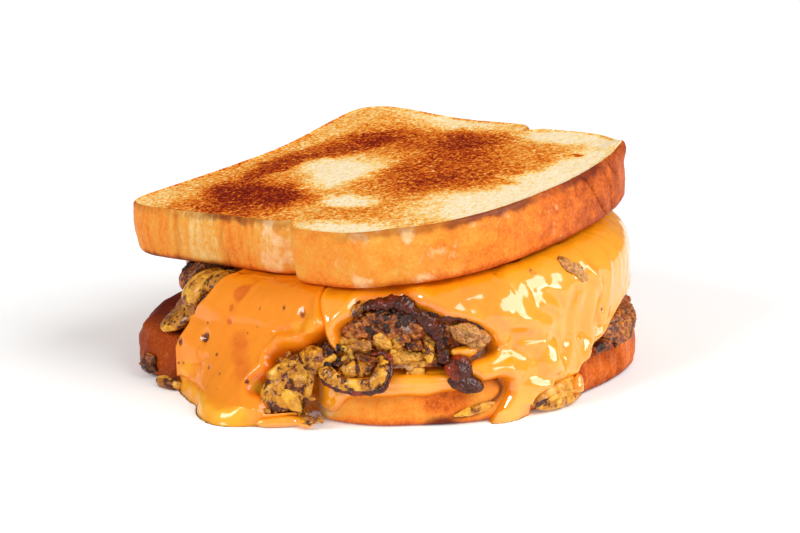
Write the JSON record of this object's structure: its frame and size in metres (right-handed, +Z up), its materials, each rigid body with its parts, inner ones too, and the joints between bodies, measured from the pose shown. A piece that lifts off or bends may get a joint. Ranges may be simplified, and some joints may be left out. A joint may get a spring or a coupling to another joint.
{
  "type": "patty melt",
  "caption": "Griddled sandwich of loaf slices with a craggy beef patty, melted cheese draped over its sides and fried onions.",
  "frame": {"origin": "middle of the overall box in plan, on the flat underside of the lower slice", "axes": "+X towards the rounded crown of the loaf slices, +Y across them away from the open side with the cheese pool, +Z up"},
  "size_m": [0.1342, 0.1496, 0.064],
  "materials": {
    "bread_crust": "baked loaf crust, soft satin",
    "bread_toast": "griddled bread, browned in patches",
    "cheese_yellow": "melted processed cheese, glossy",
    "cheese_orange": "melted processed cheese, deeper orange, semi-gloss",
    "meat": "seared ground beef, moist and craggy",
    "onion": "fried onion, soft and greasy",
    "onion_dark": "caramelised onion, dark and glossy"
  },
  "bodies": {
    "root": {"bread_bottom": "bread_crust", "bread_top": "bread_toast", "cheese_lower": "cheese_yellow", "patty": "meat", "cheese_right": "cheese_yellow", "cheese_left": "cheese_orange", "onion_strand": "onion_dark", "onion_curl": "onion", "onion_end_strand": "onion", "onion_tongue": "onion", "onion_clump": "onion", "onion_folds": "onion", "onion_clump_right": "onion", "onion_strip_right": "onion", "onion_floor_left": "onion", "onion_end_clump": "onion", "onion_lump": "onion_dark", "meat_nub_left": "meat", "meat_nub_right": "meat", "meat_bit_right": "meat"}
  },
  "joints": []
}
